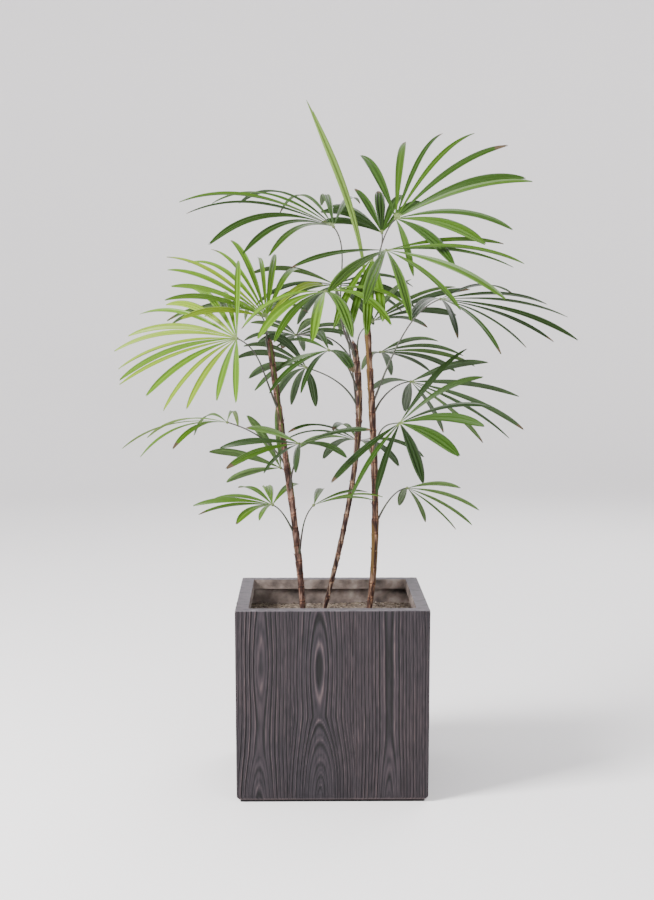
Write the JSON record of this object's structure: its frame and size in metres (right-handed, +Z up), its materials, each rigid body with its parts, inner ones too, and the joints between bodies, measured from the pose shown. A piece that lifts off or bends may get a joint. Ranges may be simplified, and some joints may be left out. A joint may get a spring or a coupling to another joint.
{
  "type": "slender lady palm in a cube planter",
  "caption": "Potted slender lady palm: thin fibrous canes with fans of narrow green leaflets on fine stalks, in a square planter with a charred wood grain.",
  "frame": {"origin": "centre of the planter's flat underside", "axes": "+Z up, -Y out of the planter's front, +X to the right of the front"},
  "size_m": [0.7274, 0.6219, 1.0872],
  "materials": {
    "fibreclay": "matt moulded fibreclay with a charred wood grain",
    "potting_mix": "loose bark and root fibre",
    "cane_skin": "matt sheath fibre",
    "light_leaf": "satin leaf",
    "deep_leaf": "satin leaf"
  },
  "bodies": {
    "root": {"planter": "fibreclay", "soil": "potting_mix", "cane_left": "cane_skin", "cane_middle": "cane_skin", "cane_right": "cane_skin", "spear": "light_leaf", "frond_left_1": "light_leaf", "frond_left_2": "light_leaf", "frond_left_3": "light_leaf", "frond_left_4": "light_leaf", "frond_left_5": "light_leaf", "frond_left_6": "light_leaf", "frond_left_7": "light_leaf", "frond_left_8": "light_leaf", "frond_middle_1": "deep_leaf", "frond_middle_2": "deep_leaf", "frond_middle_3": "deep_leaf", "frond_middle_4": "deep_leaf", "frond_middle_5": "deep_leaf", "frond_middle_6": "deep_leaf", "frond_middle_7": "deep_leaf", "frond_right_1": "deep_leaf", "frond_right_2": "deep_leaf", "frond_right_3": "deep_leaf", "frond_right_4": "deep_leaf", "frond_right_5": "deep_leaf", "frond_right_6": "deep_leaf", "frond_right_7": "deep_leaf", "frond_right_8": "deep_leaf", "frond_right_9": "deep_leaf", "frond_right_10": "deep_leaf"}
  },
  "joints": []
}
